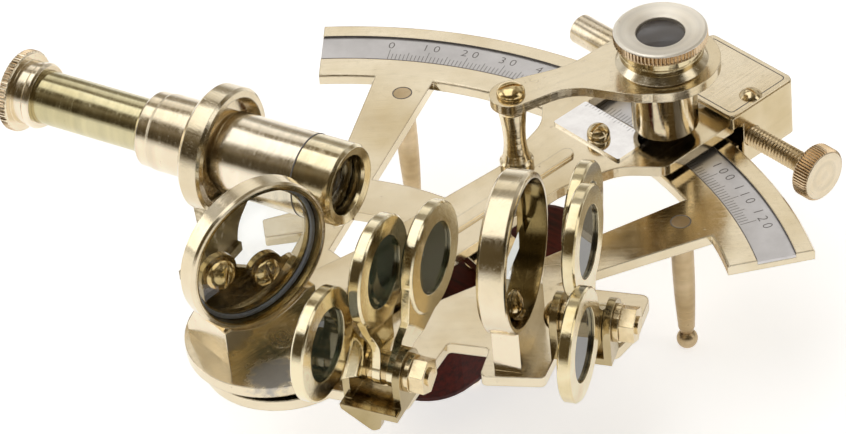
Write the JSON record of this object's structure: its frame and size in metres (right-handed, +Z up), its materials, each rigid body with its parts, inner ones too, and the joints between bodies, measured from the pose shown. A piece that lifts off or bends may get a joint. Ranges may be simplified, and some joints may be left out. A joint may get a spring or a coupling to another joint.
{
  "type": "pocket sextant",
  "caption": "Small brass pocket sextant on turned feet: index arm, two mirrors, hinged dark shades, draw telescope, scale, magnifier and tangent screw, with a wooden handle.",
  "frame": {"origin": "on the table plane that the feet stand on, under the middle of the instrument's box as it is set", "axes": "+Z up, square to the frame plate; +Y from the pivot of the index arm to the middle of the limb; +X towards the high end of the scale"},
  "size_m": [0.1226, 0.1228, 0.0611],
  "materials": {
    "brass": "brushed and polished",
    "pale_brass": "turned and polished",
    "yellow_brass": "drawn and polished",
    "silvered_metal": "satin silvered",
    "dark_wood": "varnished dark red hardwood",
    "lens_glass": "clear polished",
    "mirror_glass": "clear plate glass",
    "shade_glass": "dark tinted"
  },
  "bodies": {
    "instrument": {"frame": "brass", "scale_strip": "silvered_metal", "left_foot": "pale_brass", "right_foot": "pale_brass", "handle": "dark_wood", "handle_pillars": "brass", "handle_screws": "pale_brass", "handle_foot": "pale_brass", "centre_bush": "pale_brass", "telescope_bracket": "brass", "telescope_tube": "pale_brass", "objective_cell": "pale_brass", "objective_lens": "lens_glass", "horizon_mirror_frame": "brass", "horizon_mirror_glass": "mirror_glass", "horizon_glass_clip": "brass", "index_shade_bracket": "brass", "horizon_shade_bracket": "brass", "frame_screws": "pale_brass", "shade_bolts": "pale_brass", "shade_nuts": "brass", "shade_spacers": "pale_brass"},
    "arm": {"index_arm": "brass", "index_pivot": "pale_brass", "pivot_washer": "pale_brass", "pivot_screw": "pale_brass", "index_mirror_frame": "brass", "index_mirror_glass": "mirror_glass", "index_mirror_screws": "pale_brass", "index_back_screws": "pale_brass", "vernier_plate": "silvered_metal", "vernier_screw": "brass", "vernier_block": "brass", "cover_plate": "pale_brass", "cover_screws": "brass", "limb_keeper": "brass", "keeper_screws": "pale_brass", "tangent_sleeve": "brass", "magnifier_post": "pale_brass", "post_finial": "brass"},
    "tangent": {"tangent_screw": "pale_brass"},
    "swing": {"magnifier_arm": "pale_brass"},
    "magnifier": {"magnifier_barrel": "brass", "magnifier_cap": "pale_brass", "magnifier_lens": "lens_glass"},
    "draw": {"draw_tube": "yellow_brass", "eyepiece": "pale_brass", "eye_lens": "lens_glass"},
    "index_filter_1": {"index_shade_1": "pale_brass", "index_shade_glass_1": "shade_glass"},
    "horizon_filter_1": {"horizon_shade_1": "pale_brass", "horizon_shade_glass_1": "shade_glass"},
    "index_filter_2": {"index_shade_2": "pale_brass", "index_shade_glass_2": "shade_glass"},
    "horizon_filter_2": {"horizon_shade_2": "pale_brass", "horizon_shade_glass_2": "shade_glass"},
    "index_filter_3": {"index_shade_3": "pale_brass", "index_shade_glass_3": "shade_glass"},
    "horizon_filter_3": {"horizon_shade_3": "pale_brass", "horizon_shade_glass_3": "shade_glass"}
  },
  "joints": [
    {"name": "index_arm_turn", "type": "hinge", "parent": "instrument", "child": "arm", "pos_m": [0.00665, -0.04201, 0.0283], "axis": [0, 0, -1], "range_deg": [-36, 24]},
    {"name": "tangent_turn", "type": "hinge", "parent": "arm", "child": "tangent", "pos_m": [0.04672, 0.04749, 0.0264], "axis": [0.9945, -0.1045, 0], "continuous": true},
    {"name": "magnifier_swing", "type": "hinge", "parent": "arm", "child": "swing", "pos_m": [0.00851, 0.0149, 0.0442], "axis": [0, 0, 1], "range_deg": [-20, 10]},
    {"name": "magnifier_focus", "type": "slide", "parent": "swing", "child": "magnifier", "axis": [0, 0, 1], "range_m": [0, 0.003]},
    {"name": "draw_slide", "type": "slide", "parent": "instrument", "child": "draw", "axis": [-0.9785, -0.2062, 0], "range_m": [-0.017, 0.003]},
    {"name": "index_filter_1_turn", "type": "hinge", "parent": "instrument", "child": "index_filter_1", "pos_m": [0.02509, -0.0409, 0.0335], "axis": [-0.9511, -0.309, 0], "range_deg": [-29, 99]},
    {"name": "index_filter_2_turn", "type": "hinge", "parent": "instrument", "child": "index_filter_2", "pos_m": [0.02747, -0.04012, 0.0335], "axis": [-0.9511, -0.309, 0], "range_deg": [-82.5, 45.5]},
    {"name": "index_filter_3_turn", "type": "hinge", "parent": "instrument", "child": "index_filter_3", "pos_m": [0.02984, -0.03935, 0.0335], "axis": [-0.9511, -0.309, 0], "range_deg": [-117, 11]},
    {"name": "horizon_filter_1_turn", "type": "hinge", "parent": "instrument", "child": "horizon_filter_1", "pos_m": [0.04455, -0.0127, 0.0335], "axis": [-0.9026, -0.4305, 0], "range_deg": [-109, 12]},
    {"name": "horizon_filter_2_turn", "type": "hinge", "parent": "instrument", "child": "horizon_filter_2", "pos_m": [0.0468, -0.01162, 0.0335], "axis": [-0.9026, -0.4305, 0], "range_deg": [-75, 46]},
    {"name": "horizon_filter_3_turn", "type": "hinge", "parent": "instrument", "child": "horizon_filter_3", "pos_m": [0.04906, -0.01055, 0.0335], "axis": [-0.9026, -0.4305, 0], "range_deg": [-12, 109]}
  ]
}
